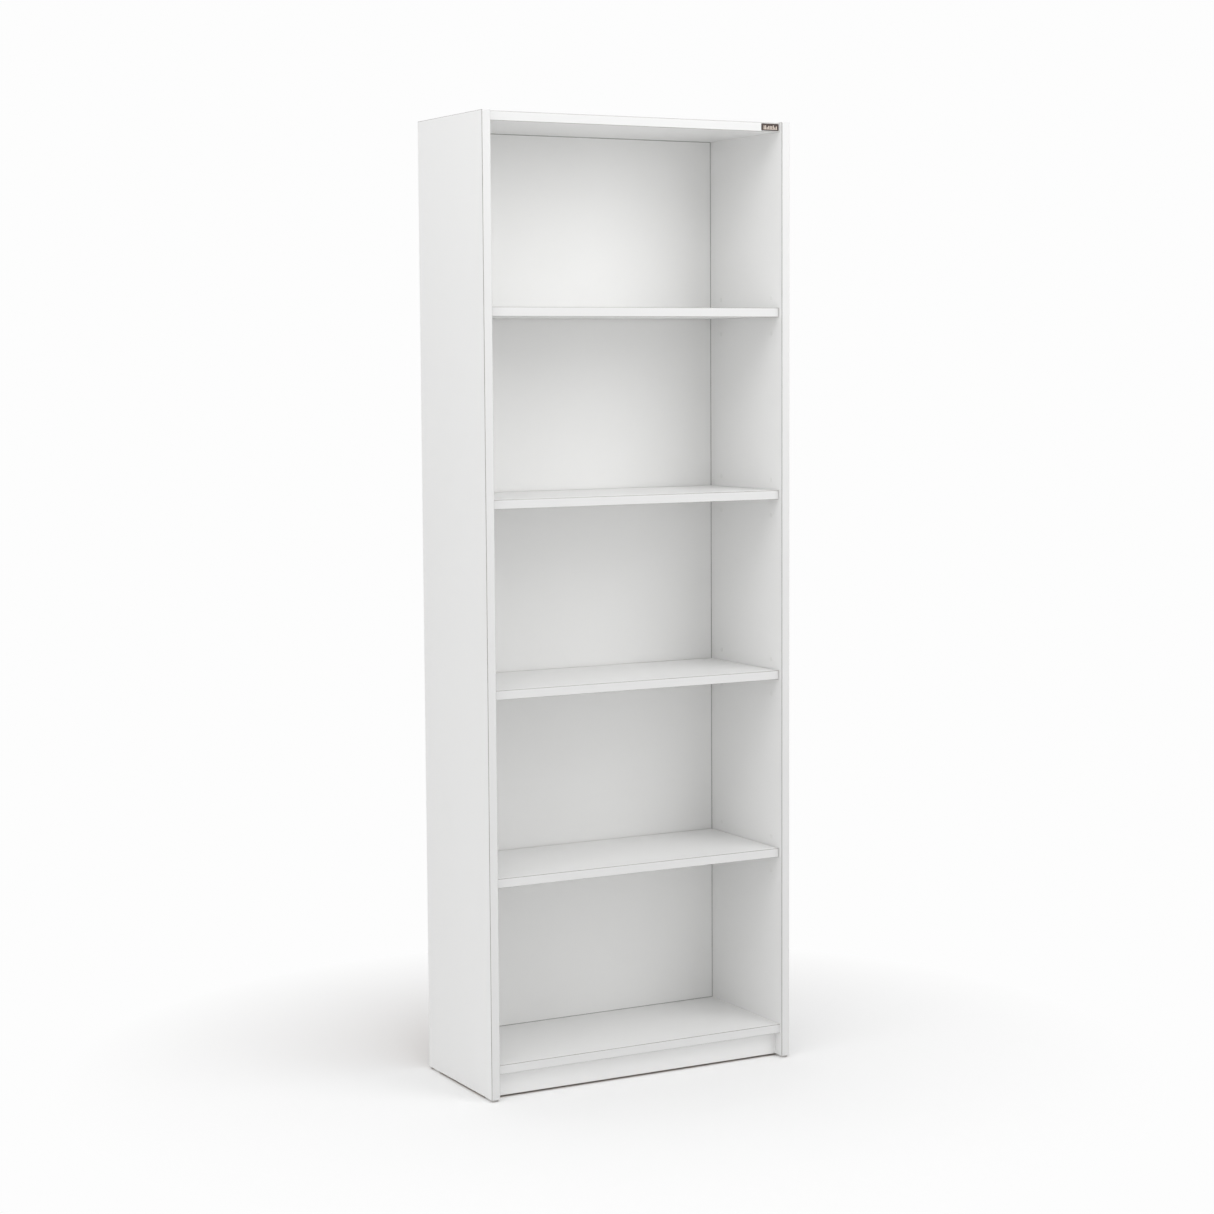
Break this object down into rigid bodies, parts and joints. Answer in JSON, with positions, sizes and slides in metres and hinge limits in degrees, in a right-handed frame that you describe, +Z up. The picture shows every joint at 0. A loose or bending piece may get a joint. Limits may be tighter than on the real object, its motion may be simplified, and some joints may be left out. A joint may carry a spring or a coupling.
{
  "type": "bookcase with adjustable shelves",
  "caption": "Tall open white bookcase: side panels, top, bottom, kick board and thin back, with adjustable shelves on hidden supports, low glides and a plain brown badge.",
  "frame": {"origin": "on the floor under the middle of the case, level with the undersides of the glides", "axes": "+Z up, +X to the right seen from the front, front faces -Y"},
  "size_m": [0.61, 0.26, 1.704],
  "materials": {
    "white_board": "white melamine-faced particleboard, satin, fine orange-peel texture; bare chipboard on edges without a band",
    "edge_band": "white edge band, satin",
    "back_board": "thin hardboard, white lacquer on the front, bare brown fibre on the rear",
    "hole_cap": "white moulded plastic, satin",
    "support": "nickel-plated",
    "zinc": "die-cast zinc, satin",
    "steel": "zinc-plated steel",
    "beech": "bare beech",
    "glide": "pale grey moulded plastic, matt",
    "badge": "dark brown lacquered plate with a plain pale raised border and plain upright bars"
  },
  "bodies": {
    "carcass": {"left_side_panel": "white_board", "left_side_front_band": "edge_band", "left_side_top_band": "edge_band", "left_hole_caps": "hole_cap", "right_side_panel": "white_board", "right_side_front_band": "edge_band", "right_side_top_band": "edge_band", "right_hole_caps": "hole_cap", "top_panel": "white_board", "top_panel_front_band": "edge_band", "bottom_panel": "white_board", "bottom_panel_front_band": "edge_band", "kick_board": "white_board", "back_board": "back_board", "badge": "badge", "cam_bolts": "steel", "dowels": "beech", "glide_front_left": "glide", "glide_back_left": "glide", "glide_front_right": "glide", "glide_back_right": "glide", "glide_nails": "steel"},
    "shelf_1": {"shelf_1": "white_board", "shelf_1_front_band": "edge_band"},
    "shelf_2": {"shelf_2": "white_board", "shelf_2_front_band": "edge_band"},
    "shelf_3": {"shelf_3": "white_board", "shelf_3_front_band": "edge_band"},
    "shelf_4": {"shelf_4": "white_board", "shelf_4_front_band": "edge_band"},
    "shelf_1_support_front_left": {"shelf_1_support_front_left": "support"},
    "shelf_1_support_front_right": {"shelf_1_support_front_right": "support"},
    "shelf_1_support_back_left": {"shelf_1_support_back_left": "support"},
    "shelf_1_support_back_right": {"shelf_1_support_back_right": "support"},
    "shelf_2_support_front_left": {"shelf_2_support_front_left": "support"},
    "shelf_2_support_front_right": {"shelf_2_support_front_right": "support"},
    "shelf_2_support_back_left": {"shelf_2_support_back_left": "support"},
    "shelf_2_support_back_right": {"shelf_2_support_back_right": "support"},
    "shelf_3_support_front_left": {"shelf_3_support_front_left": "support"},
    "shelf_3_support_front_right": {"shelf_3_support_front_right": "support"},
    "shelf_3_support_back_left": {"shelf_3_support_back_left": "support"},
    "shelf_3_support_back_right": {"shelf_3_support_back_right": "support"},
    "shelf_4_support_front_left": {"shelf_4_support_front_left": "support"},
    "shelf_4_support_front_right": {"shelf_4_support_front_right": "support"},
    "shelf_4_support_back_left": {"shelf_4_support_back_left": "support"},
    "shelf_4_support_back_right": {"shelf_4_support_back_right": "support"},
    "cam_top_front_left": {"cam_top_front_left": "zinc"},
    "cam_top_front_right": {"cam_top_front_right": "zinc"},
    "cam_top_back_left": {"cam_top_back_left": "zinc"},
    "cam_top_back_right": {"cam_top_back_right": "zinc"},
    "cam_bottom_front_left": {"cam_bottom_front_left": "zinc"},
    "cam_bottom_front_right": {"cam_bottom_front_right": "zinc"},
    "cam_bottom_back_left": {"cam_bottom_back_left": "zinc"},
    "cam_bottom_back_right": {"cam_bottom_back_right": "zinc"}
  },
  "joints": [
    {"name": "shelf_1_lift", "type": "slide", "parent": "carcass", "child": "shelf_1", "axis": [0, 0, 1], "range_m": [0, 0.3102]},
    {"name": "shelf_2_lift", "type": "slide", "parent": "carcass", "child": "shelf_2", "axis": [0, 0, 1], "range_m": [0, 0.3102]},
    {"name": "shelf_3_lift", "type": "slide", "parent": "carcass", "child": "shelf_3", "axis": [0, 0, 1], "range_m": [0, 0.3102]},
    {"name": "shelf_4_lift", "type": "slide", "parent": "carcass", "child": "shelf_4", "axis": [0, 0, 1], "range_m": [0, 0.3102]},
    {"name": "shelf_1_support_front_left_pull", "type": "slide", "parent": "carcass", "child": "shelf_1_support_front_left", "axis": [1, 0, 0], "range_m": [0, 0.0085]},
    {"name": "shelf_1_support_front_right_pull", "type": "slide", "parent": "carcass", "child": "shelf_1_support_front_right", "axis": [-1, 0, 0], "range_m": [0, 0.0085]},
    {"name": "shelf_1_support_back_left_pull", "type": "slide", "parent": "carcass", "child": "shelf_1_support_back_left", "axis": [1, 0, 0], "range_m": [0, 0.0085]},
    {"name": "shelf_1_support_back_right_pull", "type": "slide", "parent": "carcass", "child": "shelf_1_support_back_right", "axis": [-1, 0, 0], "range_m": [0, 0.0085]},
    {"name": "shelf_2_support_front_left_pull", "type": "slide", "parent": "carcass", "child": "shelf_2_support_front_left", "axis": [1, 0, 0], "range_m": [0, 0.0085]},
    {"name": "shelf_2_support_front_right_pull", "type": "slide", "parent": "carcass", "child": "shelf_2_support_front_right", "axis": [-1, 0, 0], "range_m": [0, 0.0085]},
    {"name": "shelf_2_support_back_left_pull", "type": "slide", "parent": "carcass", "child": "shelf_2_support_back_left", "axis": [1, 0, 0], "range_m": [0, 0.0085]},
    {"name": "shelf_2_support_back_right_pull", "type": "slide", "parent": "carcass", "child": "shelf_2_support_back_right", "axis": [-1, 0, 0], "range_m": [0, 0.0085]},
    {"name": "shelf_3_support_front_left_pull", "type": "slide", "parent": "carcass", "child": "shelf_3_support_front_left", "axis": [1, 0, 0], "range_m": [0, 0.0085]},
    {"name": "shelf_3_support_front_right_pull", "type": "slide", "parent": "carcass", "child": "shelf_3_support_front_right", "axis": [-1, 0, 0], "range_m": [0, 0.0085]},
    {"name": "shelf_3_support_back_left_pull", "type": "slide", "parent": "carcass", "child": "shelf_3_support_back_left", "axis": [1, 0, 0], "range_m": [0, 0.0085]},
    {"name": "shelf_3_support_back_right_pull", "type": "slide", "parent": "carcass", "child": "shelf_3_support_back_right", "axis": [-1, 0, 0], "range_m": [0, 0.0085]},
    {"name": "shelf_4_support_front_left_pull", "type": "slide", "parent": "carcass", "child": "shelf_4_support_front_left", "axis": [1, 0, 0], "range_m": [0, 0.0085]},
    {"name": "shelf_4_support_front_right_pull", "type": "slide", "parent": "carcass", "child": "shelf_4_support_front_right", "axis": [-1, 0, 0], "range_m": [0, 0.0085]},
    {"name": "shelf_4_support_back_left_pull", "type": "slide", "parent": "carcass", "child": "shelf_4_support_back_left", "axis": [1, 0, 0], "range_m": [0, 0.0085]},
    {"name": "shelf_4_support_back_right_pull", "type": "slide", "parent": "carcass", "child": "shelf_4_support_back_right", "axis": [-1, 0, 0], "range_m": [0, 0.0085]},
    {"name": "cam_top_front_left_turn", "type": "hinge", "parent": "carcass", "child": "cam_top_front_left", "pos_m": [-0.265, -0.07, 1.695], "axis": [0, 0, 1], "range_deg": [0, 170]},
    {"name": "cam_top_front_right_turn", "type": "hinge", "parent": "carcass", "child": "cam_top_front_right", "pos_m": [0.265, -0.07, 1.695], "axis": [0, 0, 1], "range_deg": [0, 170]},
    {"name": "cam_top_back_left_turn", "type": "hinge", "parent": "carcass", "child": "cam_top_back_left", "pos_m": [-0.265, 0.07, 1.695], "axis": [0, 0, 1], "range_deg": [0, 170]},
    {"name": "cam_top_back_right_turn", "type": "hinge", "parent": "carcass", "child": "cam_top_back_right", "pos_m": [0.265, 0.07, 1.695], "axis": [0, 0, 1], "range_deg": [0, 170]},
    {"name": "cam_bottom_front_left_turn", "type": "hinge", "parent": "carcass", "child": "cam_bottom_front_left", "pos_m": [-0.265, -0.07, 0.054], "axis": [0, 0, -1], "range_deg": [0, 170]},
    {"name": "cam_bottom_front_right_turn", "type": "hinge", "parent": "carcass", "child": "cam_bottom_front_right", "pos_m": [0.265, -0.07, 0.054], "axis": [0, 0, -1], "range_deg": [0, 170]},
    {"name": "cam_bottom_back_left_turn", "type": "hinge", "parent": "carcass", "child": "cam_bottom_back_left", "pos_m": [-0.265, 0.07, 0.054], "axis": [0, 0, -1], "range_deg": [0, 170]},
    {"name": "cam_bottom_back_right_turn", "type": "hinge", "parent": "carcass", "child": "cam_bottom_back_right", "pos_m": [0.265, 0.07, 0.054], "axis": [0, 0, -1], "range_deg": [0, 170]}
  ]
}
